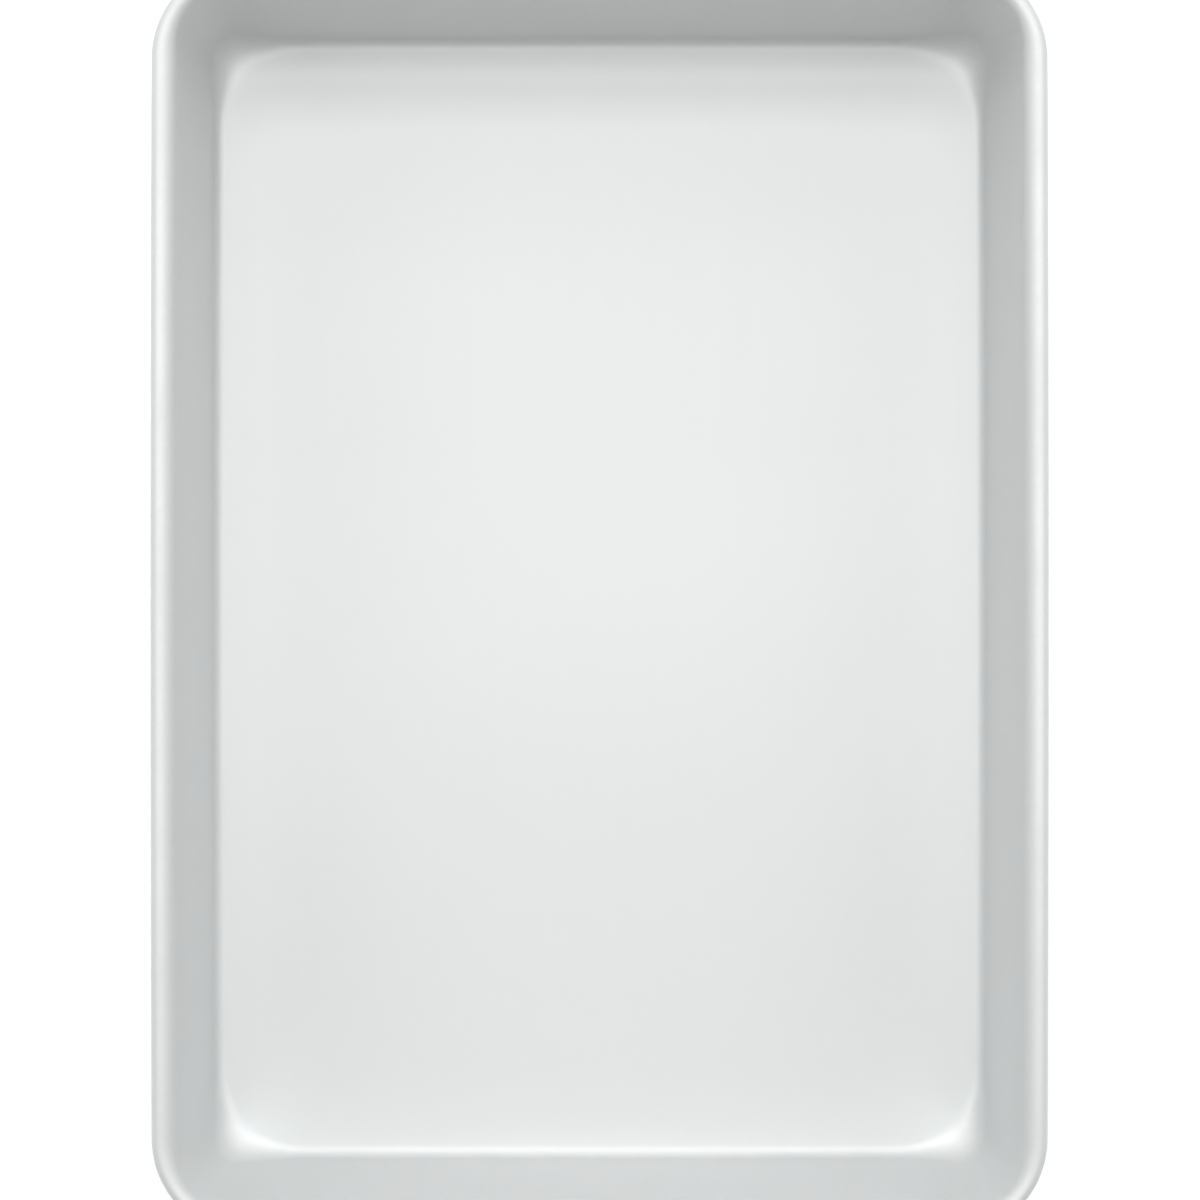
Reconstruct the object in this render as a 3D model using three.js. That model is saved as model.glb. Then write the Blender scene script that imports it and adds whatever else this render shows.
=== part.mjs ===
// Rectangular cake pan: a tray drawn from one aluminium sheet, its rim rolled outward round a wire.
// Millimetres, +Z up. The origin is under the middle of the base, and the long walls run along Y.

import * as THREE from "three";

// Driving dimensions of the tray
const OPENING_WIDTH = 228.6; // between the long walls at the rim, 9 inches
const OPENING_LENGTH = 330.2; // between the short walls at the rim, 13 inches
const DEPTH = 50.8; // from the floor inside up to the top of the rim, 2 inches
const SHEET = 0.8; // thickness of the aluminium
const WALL_LEAN = 0.8; // how far each straight wall spreads outward from the floor to the rim
const CORNER_RADIUS = 16.5; // inside the upright corners, at the rim
const FOOT_CORNER_RADIUS = 9; // the same at the foot of the walls, where the corners are tighter
const FLOOR_BEND_RADIUS = 3.3; // inside the bend from the floor to the straight walls
const FLOOR_CORNER_RADIUS = 23; // corners of the flat floor, seen from above

// Driving dimensions of the rolled rim
const WIRE_DIAMETER = 2.6;
const WIRE_CLEARANCE = 0.1; // between the wire and the sheet rolled round it
const SHOULDER_RADIUS = 4.2; // from the straight walls out to the top of the roll
const CORNER_SHOULDER_REACH = 2.66; // from the wall out to the top of the roll in the middle of a corner
const SEAM_GAP = 0.55; // between the roll's cut edge and the wall under it
const WIRE_JOINT_GAP = 1.5; // between the two butted ends of the wire

// Flat steps along each round stretch
const CORNER_STEPS = 12;
const EASING_STEPS = 3; // along the straight walls next to a corner, where the bend grows
const FLOOR_BEND_STEPS = 6;
const SHOULDER_STEPS = 5;
const ROLL_STEPS = 14;
const WIRE_SIDES = 12;

// Finishes
const satinAluminium = new THREE.MeshStandardMaterial({
  color: 0xd5d8d8,
  roughness: 0.65,
  metalness: 0.9,
});
const drawnWire = new THREE.MeshStandardMaterial({
  color: 0xb9bcbe,
  roughness: 0.35,
  metalness: 1,
});

// A round that touches a level line and a leaning wall has its centre this many radii from their crossing.
function centreReach(leanAngle) {
  return 1 / Math.cos(leanAngle) - Math.tan(leanAngle);
}

// The pan from above. Every edge runs straight along the walls and turns each corner in a curve of its
// own. The foot of the wall turns more tightly than the edge of the opening. The rim's outer edge and the
// flat floor's edge turn more widely, so in the corners the shoulder is tighter and the bend is larger.
// Straight distances are measured outward from the middle of the opening's corner curve.
const straightReach = centreReach(Math.atan2(WALL_LEAN, DEPTH));
const rollRadius = WIRE_DIAMETER / 2 + WIRE_CLEARANCE + SHEET;
const straightFoot = CORNER_RADIUS - WALL_LEAN;
const straightFloor = straightFoot - FLOOR_BEND_RADIUS * straightReach;
const straightRim = CORNER_RADIUS + SHOULDER_RADIUS * straightReach + rollRadius;
const cornerRim = CORNER_RADIUS + CORNER_SHOULDER_REACH + rollRadius;
const rimCornerRadius = straightRim + (straightRim - cornerRim) / (Math.SQRT2 - 1);

const footEdge = { straight: straightFoot, radius: FOOT_CORNER_RADIUS };
const floorEdge = { straight: straightFloor, radius: FLOOR_CORNER_RADIUS };
const rimEdge = { straight: straightRim, radius: rimCornerRadius };

const cornerMiddle = new THREE.Vector2(
  OPENING_WIDTH / 2 - CORNER_RADIUS,
  OPENING_LENGTH / 2 - CORNER_RADIUS,
);

// How far one of these edges lies from a point inside the pan, in a given direction.
function reachTo({ straight, radius }, point, outward) {
  const fromCurve = point.clone().sub(cornerMiddle).addScalar(radius - straight);
  const toLongWall = (radius - fromCurve.x) / outward.x;
  if (fromCurve.y + toLongWall * outward.y <= 0) return toLongWall;
  const toShortWall = (radius - fromCurve.y) / outward.y;
  if (fromCurve.x + toShortWall * outward.x <= 0) return toShortWall;
  const along = fromCurve.dot(outward);
  return Math.sqrt(along ** 2 - fromCurve.lengthSq() + radius ** 2) - along;
}

// A station is a place on the rim with the sizes of the wall's section there. The section lies in
// (out, up), and out is measured outward from the edge of the opening.
function station(point, outward) {
  const foot = reachTo(footEdge, point, outward) - CORNER_RADIUS;
  const flatEdge = reachTo(floorEdge, point, outward) - CORNER_RADIUS;
  const rollMiddle = reachTo(rimEdge, point, outward) - CORNER_RADIUS - rollRadius;
  const leanAngle = Math.atan2(-foot, DEPTH);
  const bendRadius = (foot - flatEdge) / centreReach(leanAngle);
  const shoulderRadius = rollMiddle / centreReach(leanAngle);
  return { point, outward, leanAngle, flatEdge, rollMiddle, bendRadius, shoulderRadius };
}

// Stations round the pan, counter-clockwise from above. A quarter runs from the long wall that faces +X
// round one corner to the short wall that faces +Y, and the others are its mirror images.
const cornerTurn = Array.from({ length: CORNER_STEPS + 1 }, (_, step) => {
  const angle = ((Math.PI / 2) * step) / CORNER_STEPS;
  return station(cornerMiddle, new THREE.Vector2(Math.cos(angle), Math.sin(angle)));
});
const easingLength = FLOOR_CORNER_RADIUS - straightFloor;
const easings = Array.from({ length: EASING_STEPS }, (_, step) => easingLength * (1 - step / EASING_STEPS));
const quarter = [
  ...easings.map((short) => {
    return station(cornerMiddle.clone().sub(new THREE.Vector2(0, short)), new THREE.Vector2(1, 0));
  }),
  ...cornerTurn,
  ...easings.toReversed().map((short) => {
    return station(cornerMiddle.clone().sub(new THREE.Vector2(short, 0)), new THREE.Vector2(0, 1));
  }),
];

function mirroredQuarter(signX, signY) {
  const sign = new THREE.Vector2(signX, signY);
  const mirrored = quarter.map((each) => ({
    ...each,
    point: each.point.clone().multiply(sign),
    outward: each.outward.clone().multiply(sign),
  }));
  return signX === signY ? mirrored : mirrored.reverse();
}

const rimStations = [
  ...mirroredQuarter(1, 1),
  ...mirroredQuarter(-1, 1),
  ...mirroredQuarter(-1, -1),
  ...mirroredQuarter(1, -1),
];

const rimTop = SHEET + DEPTH;

function arc(centre, radius, from, to, steps) {
  const curve = new THREE.EllipseCurve(centre.x, centre.y, radius, radius, from, to, to < from);
  return curve.getPoints(steps);
}

// The whole section of the sheet: its inside face from the flat floor to the cut edge of the roll, and
// its outside face back again. The wall between the floor bend and the shoulder is one straight line, and
// the roll wraps round until its cut edge nears the wall under the rim.
function sheetSection({ leanAngle, flatEdge, rollMiddle, bendRadius, shoulderRadius }) {
  const bendCentre = new THREE.Vector2(flatEdge, SHEET + bendRadius);
  const shoulderCentre = new THREE.Vector2(rollMiddle, rimTop - shoulderRadius);
  const rollCentre = new THREE.Vector2(rollMiddle, rimTop - rollRadius);
  const roomUnderRim = rollMiddle - SHEET - SEAM_GAP;
  const openAngle = Math.acos(Math.min(roomUnderRim / rollRadius, 1));
  const face = (inset) => [
    ...arc(bendCentre, bendRadius + inset, -Math.PI / 2, -leanAngle, FLOOR_BEND_STEPS),
    ...arc(shoulderCentre, shoulderRadius - inset, Math.PI - leanAngle, Math.PI / 2, SHOULDER_STEPS),
    ...arc(rollCentre, rollRadius - inset, Math.PI / 2, openAngle - Math.PI, ROLL_STEPS).slice(1),
  ];
  return [...face(0), ...face(SHEET).reverse()];
}

function wireSection({ rollMiddle }) {
  const rollCentre = new THREE.Vector2(rollMiddle, rimTop - rollRadius);
  const circle = arc(rollCentre, WIRE_DIAMETER / 2, 0, -2 * Math.PI, WIRE_SIDES);
  return circle.slice(0, -1);
}

function place({ point, outward }, [out, up]) {
  const reach = CORNER_RADIUS + out;
  return [point.x + outward.x * reach, point.y + outward.y * reach, up];
}

// Carries a section, whose points run clockwise, along the stations. Gives the vertices of every
// station in turn, and the triangles between neighbouring stations.
function sweep(sectionOf, stations, { ringClosed, sectionClosed }) {
  const sections = stations.map(sectionOf);
  const size = sections[0].length;
  const positions = stations.flatMap((each, s) => sections[s].flatMap((point) => place(each, point)));
  const triangles = [];
  for (let s = 0; s < stations.length - (ringClosed ? 0 : 1); s++) {
    const here = s * size;
    const next = ((s + 1) % stations.length) * size;
    for (let p = 0; p < size - (sectionClosed ? 0 : 1); p++) {
      const after = (p + 1) % size;
      triangles.push(here + p, here + after, next + p);
      triangles.push(next + p, here + after, next + after);
    }
  }
  return { positions, triangles, size };
}

function solidGeometry({ positions, triangles }) {
  const geometry = new THREE.BufferGeometry();
  geometry.setAttribute("position", new THREE.Float32BufferAttribute(positions, 3));
  geometry.setIndex(triangles);
  geometry.computeVertexNormals();
  return geometry;
}

// The tray: its walls, bend and rolled rim are swept round the opening, and the flat floor closes the
// ring that they leave, once at the inside face and once underneath.
function panBody() {
  const shell = sweep(sheetSection, rimStations, { ringClosed: true, sectionClosed: false });
  const floorOutline = rimStations.map((each) => {
    const [x, y] = place(each, [each.flatEdge, SHEET]);
    return new THREE.Vector2(x, y);
  });
  const insideEdge = (s) => s * shell.size;
  const undersideEdge = (s) => (s + 1) * shell.size - 1;
  for (const [a, b, c] of THREE.ShapeUtils.triangulateShape(floorOutline, [])) {
    shell.triangles.push(insideEdge(a), insideEdge(b), insideEdge(c));
    shell.triangles.push(undersideEdge(c), undersideEdge(b), undersideEdge(a));
  }
  return solidGeometry(shell);
}

// The wire: one length bent to follow the roll, its ends butted in the middle of a long side.
function rimWire() {
  const wireEnd = (side) => ({
    ...rimStations[0],
    point: new THREE.Vector2(cornerMiddle.x, (side * WIRE_JOINT_GAP) / 2),
  });
  const stations = [wireEnd(1), ...rimStations, wireEnd(-1)];
  const wire = sweep(wireSection, stations, { ringClosed: false, sectionClosed: true });
  const lastEnd = (stations.length - 1) * wire.size;
  for (let p = 1; p < wire.size - 1; p++) {
    wire.triangles.push(0, p + 1, p);
    wire.triangles.push(lastEnd, lastEnd + p, lastEnd + p + 1);
  }
  return solidGeometry(wire);
}

function piece(name, geometry, material) {
  const mesh = new THREE.Mesh(geometry, material);
  mesh.name = name;
  return mesh;
}

const cakePan = new THREE.Group();
cakePan.add(piece("pan_body", panBody(), satinAluminium));
cakePan.add(piece("rim_wire", rimWire(), drawnWire));

export default cakePan;
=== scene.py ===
# A rectangular cake pan of satin anodised aluminium, on a white studio table, seen from straight above.
# Metres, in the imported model's frame: +Z up, the long walls along Y, the origin under the base.
import math

import bmesh
import bpy
from mathutils import Matrix, Vector


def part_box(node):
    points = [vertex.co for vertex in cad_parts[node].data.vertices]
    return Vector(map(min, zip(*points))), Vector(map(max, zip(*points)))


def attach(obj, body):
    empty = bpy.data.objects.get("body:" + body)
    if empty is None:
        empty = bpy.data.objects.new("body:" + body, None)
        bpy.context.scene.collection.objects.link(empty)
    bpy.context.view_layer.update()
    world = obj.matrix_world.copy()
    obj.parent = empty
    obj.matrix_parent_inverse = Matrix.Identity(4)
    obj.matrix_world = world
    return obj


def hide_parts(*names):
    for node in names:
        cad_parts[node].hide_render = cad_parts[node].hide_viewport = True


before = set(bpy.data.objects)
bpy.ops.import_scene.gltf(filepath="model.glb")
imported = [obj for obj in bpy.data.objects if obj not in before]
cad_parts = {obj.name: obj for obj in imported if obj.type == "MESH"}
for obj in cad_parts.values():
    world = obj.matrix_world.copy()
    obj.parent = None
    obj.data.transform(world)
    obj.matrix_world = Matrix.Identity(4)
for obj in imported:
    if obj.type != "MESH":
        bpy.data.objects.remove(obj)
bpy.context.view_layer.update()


# The pan body: one aluminium sheet drawn into a tray with straight walls, etched and anodised satin.
# Its edge flares out over a round shoulder and is rolled down round a wire. In the corners the wall
# turns more tightly at its foot than at the rim, the shoulder is tighter and the floor bend is larger.
sheet = 0.0008
wall_lean = 0.0008
corner_radius = 0.0165
foot_corner_radius = 0.009
floor_bend = 0.0033
floor_corner_radius = 0.023
wire_radius = 0.0013
wire_clearance = 0.0001
shoulder = 0.0042
corner_shoulder_reach = 0.00266
seam_gap = 0.00055
side_belly = 0.0004
floor_border = 0.001
weld = 0.000001

# Smooth steps along the walls, round the corners and round the section
long_wall_steps = 12
short_wall_steps = 9
easing_steps = 8
corner_steps = 40
bend_steps = 16
wall_steps = 10
shoulder_steps = 16
roll_steps = 28
sharp_angle = math.radians(40)

pan_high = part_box("pan_body")[1]
rim_top = pan_high.z
depth = rim_top - sheet
roll_radius = wire_radius + wire_clearance + sheet


def centre_reach(lean):
    """How many radii the centre of a round lies from where the level line and the wall it touches cross."""
    return 1 / math.cos(lean) - math.tan(lean)


straight_reach = centre_reach(math.atan2(wall_lean, depth))
rim_width = shoulder * straight_reach + roll_radius
corner_middle = pan_high.xy - Vector((1, 1)) * (rim_width + corner_radius)

# Each edge seen from above: its distance from the corner's middle along the walls, and its corner radius
straight_rim = corner_radius + rim_width
corner_rim = corner_radius + corner_shoulder_reach + roll_radius
straight_foot = corner_radius - wall_lean
straight_floor = straight_foot - floor_bend * straight_reach
rim_edge = (straight_rim, straight_rim + (straight_rim - corner_rim) / (math.sqrt(2) - 1))
foot_edge = (straight_foot, foot_corner_radius)
floor_edge = (straight_floor, floor_corner_radius)


def reach_to(edge, place, outward):
    """How far one of these edges lies from a place inside the pan, in a given direction."""
    straight, radius = edge
    off_curve = place - corner_middle + Vector((1, 1)) * (radius - straight)
    for side, other in ((0, 1), (1, 0)):
        if outward[side] > weld:
            to_wall = (radius - off_curve[side]) / outward[side]
            if off_curve[other] + to_wall * outward[other] <= 0:
                return to_wall
    along = off_curve.dot(outward)
    return math.sqrt(along**2 - off_curve.length_squared + radius**2) - along


def stations(first_y):
    """Places round a quarter of the pan, from the middle of a long wall to the middle of a short one."""
    along_x = Vector((1, 0))
    along_y = Vector((0, 1))
    easing = floor_corner_radius - straight_floor
    plain = corner_middle - Vector((easing, easing))
    for step in range(long_wall_steps):
        yield Vector((corner_middle.x, first_y + (plain.y - first_y) * step / long_wall_steps)), along_x
    for step in range(easing_steps):
        yield Vector((corner_middle.x, plain.y + easing * step / easing_steps)), along_x
    for step in range(corner_steps + 1):
        angle = math.pi / 2 * step / corner_steps
        yield corner_middle, Vector((math.cos(angle), math.sin(angle)))
    for step in range(1, easing_steps + 1):
        yield Vector((corner_middle.x - easing * step / easing_steps, corner_middle.y)), along_y
    for step in range(1, short_wall_steps + 1):
        yield Vector((plain.x * (1 - step / short_wall_steps), corner_middle.y)), along_y


def roll_out(place, outward):
    """How far outside the edge of the opening the middle of the roll lies."""
    return reach_to(rim_edge, place, outward) - corner_radius - roll_radius


def stand_at(place, outward):
    """Moves a section, drawn outward along X from the edge of the opening, to its station."""
    across = (place + outward * corner_radius).to_3d()
    return Matrix.Translation(across) @ Matrix.Rotation(math.atan2(outward.y, outward.x), 4, "Z")


def sweep(bm, geometry, middle, axis, angle, steps):
    """Carries points or edges round an axis, and returns what lies at the far end."""
    swept = bmesh.ops.spin(bm, geom=geometry, cent=middle, axis=axis, angle=angle, steps=steps)
    return swept["geom_last"]


def draw_wall(bm, place, outward):
    """Draws the sheet's inside face at a station: floor bend, wall, shoulder and roll. Returns its edges."""
    older = set(bm.verts)
    foot_x = reach_to(foot_edge, place, outward) - corner_radius
    flat_x = reach_to(floor_edge, place, outward) - corner_radius
    roll_x = roll_out(place, outward)
    lean = math.atan2(-foot_x, depth)
    bend = (foot_x - flat_x) / centre_reach(lean)
    flare = roll_x / centre_reach(lean)
    flat_end = bm.verts.new((flat_x, 0, sheet))
    foot = sweep(bm, [flat_end], (flat_x, 0, sheet + bend), (0, -1, 0), math.pi / 2 - lean, bend_steps)[0]
    flare_middle = Vector((roll_x, 0, rim_top - flare))
    flare_start = flare_middle + flare * Vector((-math.cos(lean), 0, math.sin(lean)))
    rise = (flare_start - foot.co) / wall_steps
    wall = bmesh.ops.spin(bm, geom=[foot], axis=(0, 0, 1), dvec=rise, angle=0, steps=wall_steps)
    crest = sweep(bm, wall["geom_last"], flare_middle, (0, 1, 0), math.pi / 2 - lean, shoulder_steps)
    open_angle = math.acos(min((roll_x - sheet - seam_gap) / roll_radius, 1))
    roll_middle = (roll_x, 0, rim_top - roll_radius)
    sweep(bm, crest, roll_middle, (0, 1, 0), 3 * math.pi / 2 - open_angle, roll_steps)
    drawn_points = [vert for vert in bm.verts if vert not in older]
    bmesh.ops.transform(bm, matrix=stand_at(place, outward), verts=drawn_points)
    return list({edge for vert in drawn_points for edge in vert.link_edges})


def mirror_across(bm, axis):
    """Adds the mirror image and welds it on along the middle."""
    everything = bm.verts[:] + bm.edges[:] + bm.faces[:]
    bmesh.ops.mirror(bm, geom=everything, matrix=Matrix.Identity(4), merge_dist=weld, axis=axis)
    bmesh.ops.remove_doubles(bm, verts=bm.verts, dist=weld)


def belly_out(bm):
    """Draws the long sides in a little towards their ends, so that they belly out as drawn sheet does."""
    for vert in bm.verts:
        vert.co.x *= 1 - side_belly / pan_high.x * (vert.co.y / pan_high.y) ** 2


def new_piece(name, bm):
    """Turns a finished bmesh into an object at the origin, smooth but for its sharp edges."""
    mesh = bpy.data.meshes.new(name)
    bm.to_mesh(mesh)
    bm.free()
    mesh.shade_smooth()
    mesh.set_sharp_from_angle(angle=sharp_angle)
    piece = bpy.data.objects.new(name, mesh)
    bpy.context.scene.collection.objects.link(piece)
    return piece


pan = bmesh.new()
drawn_walls = [draw_wall(pan, place, outward) for place, outward in stations(0)]
for here, there in zip(drawn_walls, drawn_walls[1:]):
    bmesh.ops.bridge_loops(pan, edges=here + there)
mirror_across(pan, "X")
mirror_across(pan, "Y")
floor_outline = [e for e in pan.edges if e.is_boundary and max(v.co.z for v in e.verts) < sheet + weld]
floor = bmesh.ops.edgeloop_fill(pan, edges=floor_outline)["faces"]
bmesh.ops.inset_region(pan, faces=floor, thickness=floor_border, use_even_offset=True)
belly_out(pan)
bmesh.ops.recalc_face_normals(pan, faces=pan.faces)
if max(pan.faces, key=lambda face: face.calc_area()).normal.z < 0:
    bmesh.ops.reverse_faces(pan, faces=pan.faces)
bmesh.ops.solidify(pan, geom=pan.faces[:], thickness=sheet)
pan_body = new_piece("cake_pan_body", pan)

# The finish: etched sheet with a fine grain and faint rolling lines along its length. The die has
# burnished the bends and walls and left faint marks up them, and bending has roughened the rim.
# The underside is lightly scuffed.
floor_roughness = 0.74
drawn_roughness = 0.71
rim_roughness = 0.75
drawn_from = sheet + 0.00005
drawn_fully = sheet + 0.0005
rolled_from = rim_top - shoulder
rolled_fully = rim_top - 0.001
scuffed_below = sheet / 2
satin_dark = (0.692, 0.702, 0.701, 1)
satin_light = (0.732, 0.742, 0.741, 1)
grain_depth = 0.000004
noise_low = 0.3
noise_high = 0.7
scuff_low = 0.58
scuff_high = 0.7

# How far each mark changes the roughness, and the shade between dark and light
cloud_roughness = 0.004
line_roughness = 0.004
mark_roughness = 0.01
wear_roughness = 0.015
scuff_roughness = -0.2
middle_shade = 0.5
cloud_shade = 0.05
line_shade = 0.02
grain_shade = 0.03
scuff_shade = 0.5


def link_or_set(tree, socket, value):
    """Feeds a socket from another node's output, or gives it a plain value."""
    if isinstance(value, bpy.types.NodeSocket):
        tree.links.new(value, socket)
    else:
        socket.default_value = value


def noise(tree, place, stretch, scale, detail):
    """Noise, mostly between the low and the high value. Stretch scales its coordinates along X, Y and Z."""
    mapping = tree.nodes.new("ShaderNodeMapping")
    texture = tree.nodes.new("ShaderNodeTexNoise")
    mapping.inputs["Scale"].default_value = stretch
    texture.inputs["Scale"].default_value = scale
    texture.inputs["Detail"].default_value = detail
    tree.links.new(place, mapping.inputs["Vector"])
    tree.links.new(mapping.outputs["Vector"], texture.inputs["Vector"])
    return texture.outputs["Fac"]


def between(tree, value, start, stop, first, last):
    """Turns a value that runs from start to stop into one that runs smoothly from first to last."""
    node = tree.nodes.new("ShaderNodeMapRange")
    node.interpolation_type = "SMOOTHSTEP"
    for socket, number in zip(node.inputs, (value, start, stop, first, last)):
        link_or_set(tree, socket, number)
    return node.outputs["Result"]


def calculate(tree, operation, first, second):
    """Adds or multiplies two values."""
    node = tree.nodes.new("ShaderNodeMath")
    node.operation = operation
    link_or_set(tree, node.inputs[0], first)
    link_or_set(tree, node.inputs[1], second)
    return node.outputs["Value"]


def swing(tree, value, amount):
    """Turns noise into a change of up to this amount either way."""
    return between(tree, value, noise_low, noise_high, -amount, amount)


def tone(tree, amount, dark, light):
    """A colour between a dark one and a light one."""
    ramp = tree.nodes.new("ShaderNodeValToRGB")
    ramp.color_ramp.elements[0].color = dark
    ramp.color_ramp.elements[1].color = light
    tree.links.new(amount, ramp.inputs["Fac"])
    return ramp.outputs["Color"]


def bump_from(tree, height, bump_depth):
    """A bump from a fine grain, its depth in metres."""
    bump = tree.nodes.new("ShaderNodeBump")
    bump.inputs["Distance"].default_value = bump_depth
    tree.links.new(height, bump.inputs["Height"])
    return bump.outputs["Normal"]


satin = bpy.data.materials.new("satin_anodised_aluminium")
satin.use_nodes = True
tree = satin.node_tree
place = tree.nodes.new("ShaderNodeTexCoord").outputs["Object"]
split = tree.nodes.new("ShaderNodeSeparateXYZ")
tree.links.new(place, split.inputs["Vector"])
height = split.outputs["Z"]
grain = noise(tree, place, stretch=(1, 1, 1), scale=3800, detail=2)
rolling_lines = noise(tree, place, stretch=(1, 0.006, 1), scale=1300, detail=2)
draw_marks = noise(tree, place, stretch=(1, 1, 0.012), scale=650, detail=2)
clouds = noise(tree, place, stretch=(1, 1, 1), scale=9, detail=2)
handling = noise(tree, place, stretch=(1, 1, 1), scale=45, detail=3)
scuffs = noise(tree, place, stretch=(1, 0.05, 1), scale=420, detail=4)
on_walls = between(tree, height, drawn_from, drawn_fully, 0, 1)
on_rim = between(tree, height, rolled_from, rolled_fully, 0, 1)
underneath = between(tree, height, scuffed_below, 0, 0, 1)
scratches = calculate(tree, "MULTIPLY", between(tree, scuffs, scuff_low, scuff_high, 0, 1), underneath)

roughness = between(tree, on_walls, 0, 1, floor_roughness, drawn_roughness)
for change in (
    between(tree, on_rim, 0, 1, 0, rim_roughness - drawn_roughness),
    swing(tree, clouds, cloud_roughness),
    swing(tree, rolling_lines, line_roughness),
    calculate(tree, "MULTIPLY", swing(tree, draw_marks, mark_roughness), on_walls),
    calculate(tree, "MULTIPLY", swing(tree, handling, wear_roughness), on_rim),
    calculate(tree, "MULTIPLY", scratches, scuff_roughness),
):
    roughness = calculate(tree, "ADD", roughness, change)

shade = calculate(tree, "ADD", swing(tree, clouds, cloud_shade), middle_shade)
for change in (
    swing(tree, rolling_lines, line_shade),
    swing(tree, grain, grain_shade),
    calculate(tree, "MULTIPLY", scratches, scuff_shade),
):
    shade = calculate(tree, "ADD", shade, change)

shader = tree.nodes["Principled BSDF"]
shader.inputs["Metallic"].default_value = 1
tree.links.new(tone(tree, shade, satin_dark, satin_light), shader.inputs["Base Color"])
tree.links.new(roughness, shader.inputs["Roughness"])
tree.links.new(bump_from(tree, grain, grain_depth), shader.inputs["Normal"])
pan_body.data.materials.append(satin)
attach(pan_body, "root")
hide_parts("pan_body")


# The rim wire: one length of drawn aluminium wire, bent to follow the roll that hides it.
# Its two ends face each other in the middle of one long side, with a small gap left between them.
wire_joint = 0.0015
wire_sides = 20
wire_dark = (0.66, 0.67, 0.68, 1)
wire_light = (0.76, 0.77, 0.78, 1)
wire_smooth = 0.28
wire_rough = 0.42
die_line_depth = 0.000003


def draw_ring(bm, place, outward):
    """Draws the wire's round section at a station, inside the roll. Returns its edges."""
    ring = bmesh.ops.create_circle(bm, segments=wire_sides, radius=wire_radius)["verts"]
    stood_up = Matrix.Rotation(math.pi / 2, 4, "X")
    in_roll = Matrix.Translation((roll_out(place, outward), 0, rim_top - roll_radius))
    bmesh.ops.transform(bm, matrix=stand_at(place, outward) @ in_roll @ stood_up, verts=ring)
    return list({edge for vert in ring for edge in vert.link_edges})


wire = bmesh.new()
rings = [draw_ring(wire, place, outward) for place, outward in stations(wire_joint / 2)]
for here, there in zip(rings, rings[1:]):
    bmesh.ops.bridge_loops(wire, edges=here + there)
mirror_across(wire, "X")
left_ends = [e for e in wire.edges if e.is_boundary and e.verts[0].co.x < 0]
across_middle = bmesh.ops.extrude_edge_only(wire, edges=left_ends)["geom"]
for vert in [element for element in across_middle if isinstance(element, bmesh.types.BMVert)]:
    vert.co.y = 0
mirror_across(wire, "Y")
bmesh.ops.holes_fill(wire, edges=[e for e in wire.edges if e.is_boundary], sides=0)
belly_out(wire)
bmesh.ops.recalc_face_normals(wire, faces=wire.faces)
rim_wire = new_piece("rim_wire_drawn", wire)

# The finish: bright metal with fine lines left by the drawing die.
drawn = bpy.data.materials.new("drawn_aluminium_wire")
drawn.use_nodes = True
tree = drawn.node_tree
place = tree.nodes.new("ShaderNodeTexCoord").outputs["Object"]
die_lines = noise(tree, place, stretch=(1, 1, 6), scale=900, detail=3)
shader = tree.nodes["Principled BSDF"]
shader.inputs["Metallic"].default_value = 1
tree.links.new(tone(tree, die_lines, wire_dark, wire_light), shader.inputs["Base Color"])
wire_roughness = between(tree, die_lines, noise_low, noise_high, wire_smooth, wire_rough)
tree.links.new(wire_roughness, shader.inputs["Roughness"])
tree.links.new(bump_from(tree, die_lines, die_line_depth), shader.inputs["Normal"])
rim_wire.data.materials.append(drawn)
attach(rim_wire, "root")
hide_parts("rim_wire")


# The studio table: plain white laminate, a little uneven in tone, that runs well past the picture.
# It lies a hair under the pan, so that their faces don't fall together.
table_size = 40.0
table_gap = 0.0001
table_dark = (0.935, 0.935, 0.935, 1)
table_light = (0.965, 0.965, 0.965, 1)
table_smooth = 0.76
table_rough = 0.84

table = bmesh.new()
under_pan = Matrix.Translation((0, 0, -table_gap))
bmesh.ops.create_grid(table, x_segments=1, y_segments=1, size=table_size / 2, matrix=under_pan)
studio_table = new_piece("studio_table", table)
white = bpy.data.materials.new("white_table")
white.use_nodes = True
tree = white.node_tree
place = tree.nodes.new("ShaderNodeTexCoord").outputs["Object"]
mottle = noise(tree, place, stretch=(1, 1, 1), scale=14, detail=3)
shader = tree.nodes["Principled BSDF"]
tree.links.new(tone(tree, mottle, table_dark, table_light), shader.inputs["Base Color"])
table_roughness = between(tree, mottle, noise_low, noise_high, table_smooth, table_rough)
tree.links.new(table_roughness, shader.inputs["Roughness"])
studio_table.data.materials.append(white)


# The light: a white studio room and softboxes round the pan. One hangs close over it, one stands high at its
# far end, a long low one there lights its near end, and others stand at its sides and corners.
room_light = 0.4

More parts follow.
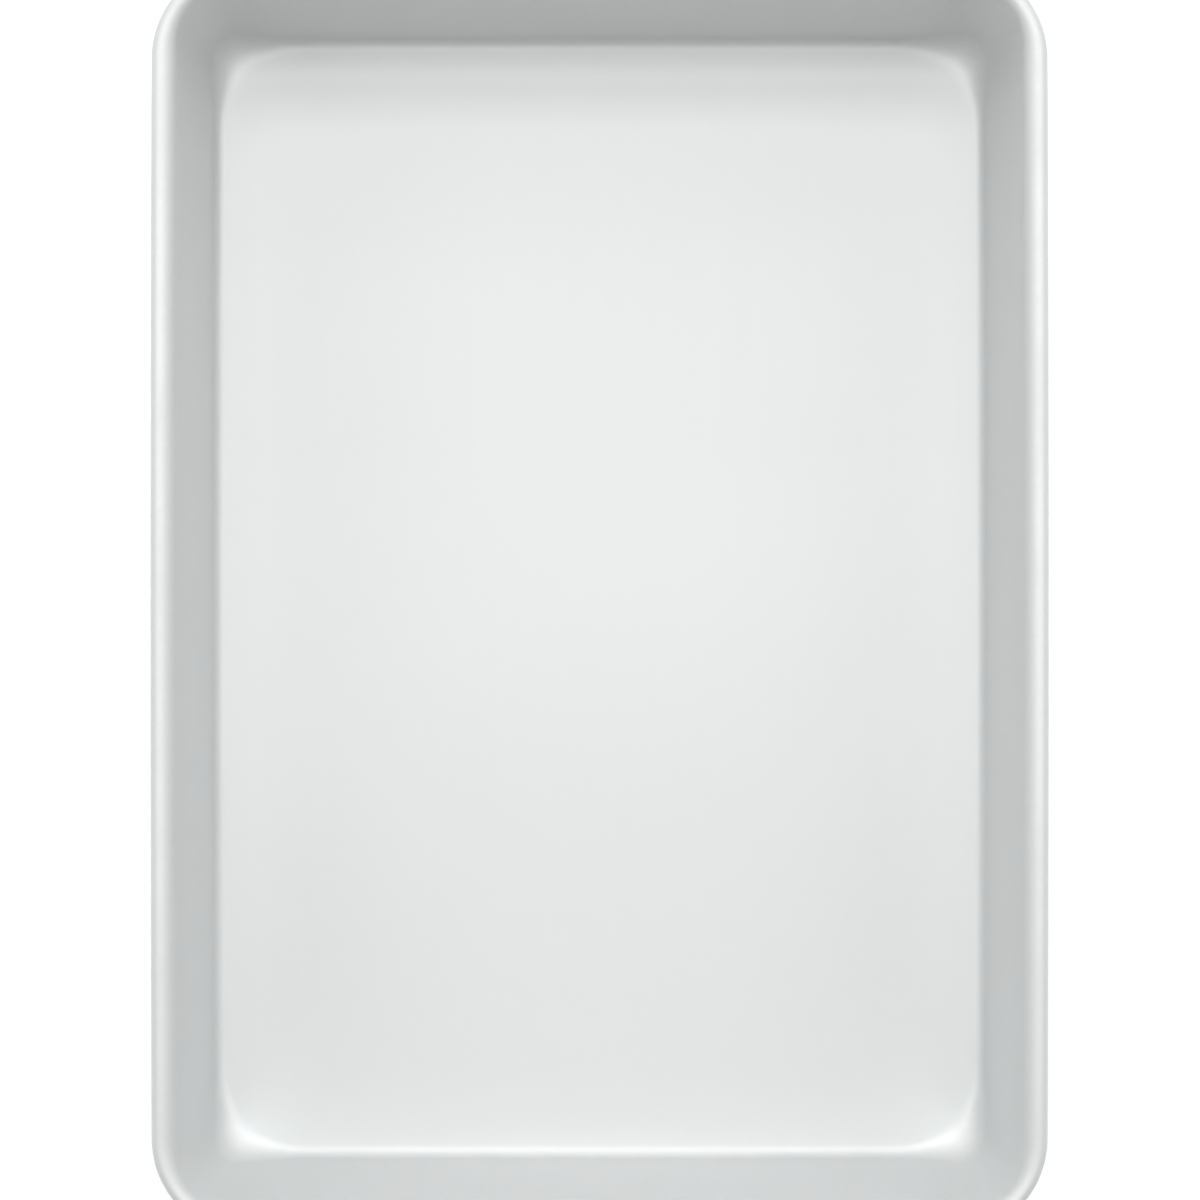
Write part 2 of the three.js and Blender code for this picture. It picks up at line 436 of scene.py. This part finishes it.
world = bpy.data.worlds.new("studio_room")
world.use_nodes = True
world.node_tree.nodes["Background"].inputs["Color"].default_value = (1, 1, 1, 1)
world.node_tree.nodes["Background"].inputs["Strength"].default_value = room_light
bpy.context.scene.world = world


def softbox(name, azimuth, elevation, distance, width, height, watts):
    """Stands a soft rectangular light round the pan, turned towards it. Azimuth runs from +X to +Y."""
    light = bpy.data.lights.new(name, "AREA")
    light.shape = "RECTANGLE"
    light.size = width
    light.size_y = height
    light.energy = watts
    stand = bpy.data.objects.new(name, light)
    turn = Matrix.Rotation(math.radians(azimuth), 3, "Z") @ Matrix.Rotation(math.radians(-elevation), 3, "Y")
    stand.location = turn @ Vector((distance, 0, 0))
    stand.rotation_euler = (-stand.location).to_track_quat("-Z", "Y").to_euler()
    bpy.context.scene.collection.objects.link(stand)


softbox("overhead_softbox", azimuth=90, elevation=82, distance=1.2, width=0.5, height=0.5, watts=7.75)
softbox("high_far_softbox", azimuth=90, elevation=64, distance=3, width=1.8, height=0.6, watts=13.8)
softbox("far_softbox", azimuth=90, elevation=15, distance=2, width=2.2, height=0.5, watts=10.3)
softbox("right_softbox", azimuth=0, elevation=12, distance=3, width=2.4, height=0.6, watts=11)
softbox("left_softbox", azimuth=180, elevation=12, distance=3, width=2.4, height=0.6, watts=11)
softbox("far_right_softbox", azimuth=45, elevation=25, distance=3, width=1.8, height=1.2, watts=8.2)
softbox("far_left_softbox", azimuth=135, elevation=25, distance=3, width=1.8, height=1.2, watts=8.2)
softbox("near_right_softbox", azimuth=325, elevation=40, distance=3, width=1.5, height=1.2, watts=4.3)
softbox("near_left_softbox", azimuth=215, elevation=40, distance=3, width=1.5, height=1.2, watts=4.3)


# The camera: straight above the pan, so close that both short ends of the rim leave the picture.
camera_place = (0.0001, -0.0004, 0.5516)
lens = bpy.data.cameras.new("overhead_camera")
lens.sensor_width = 36
lens.lens = 56.07
overhead_camera = bpy.data.objects.new("overhead_camera", lens)
overhead_camera.location = camera_place
bpy.context.scene.collection.objects.link(overhead_camera)
bpy.context.scene.camera = overhead_camera
bpy.context.scene.view_settings.view_transform = "Standard"
